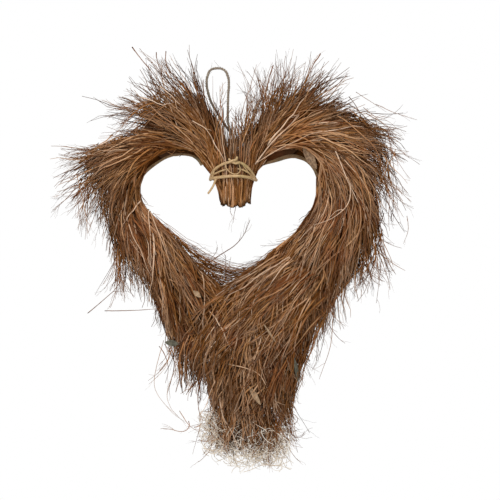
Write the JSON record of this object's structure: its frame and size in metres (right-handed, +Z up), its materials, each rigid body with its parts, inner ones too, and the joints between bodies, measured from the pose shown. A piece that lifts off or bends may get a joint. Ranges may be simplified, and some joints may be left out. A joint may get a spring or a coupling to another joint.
{
  "type": "root heart wreath",
  "caption": "Heart-shaped wreath of fine brown roots on a bent cane hoop, tied at the neck with cane, with a twisted loop to hang it by.",
  "frame": {"origin": "where the inside of the hanging loop's crown bears on the hook that holds the wreath", "axes": "+Z up, the wreath hangs in the XZ plane with its front towards -Y, and +X is to the right seen from the front"},
  "size_m": [0.3881, 0.0749, 0.4473],
  "materials": {
    "roots": "dry fine roots, brown to reddish, with pale and greyish tips",
    "hoop_cane": "bent cane with dark bark",
    "tie_cane": "pale peeled cane, satin",
    "twisted_loop": "stiff twisted roots round a wire core",
    "dry_leaf": "dry tan leaf",
    "grey_leaf": "dry grey-green leaf",
    "bark": "thin tan bark"
  },
  "bodies": {
    "root": {"heart_hoop": "hoop_cane", "left_crown_bunch": "roots", "left_lobe_bunch": "roots", "left_side_bunch": "roots", "left_upper_arm_bunch": "roots", "left_lower_arm_bunch": "roots", "left_tail_bunch": "roots", "right_crown_bunch": "roots", "right_lobe_bunch": "roots", "right_side_bunch": "roots", "right_upper_arm_bunch": "roots", "right_lower_arm_bunch": "roots", "right_tail_bunch": "roots", "cane_tie": "tie_cane", "hanging_loop": "twisted_loop", "tan_leaf": "dry_leaf", "straw": "dry_leaf", "bark_flake": "bark", "pale_flake": "dry_leaf", "grey_leaf": "grey_leaf", "pointed_leaf": "grey_leaf"}
  },
  "joints": []
}
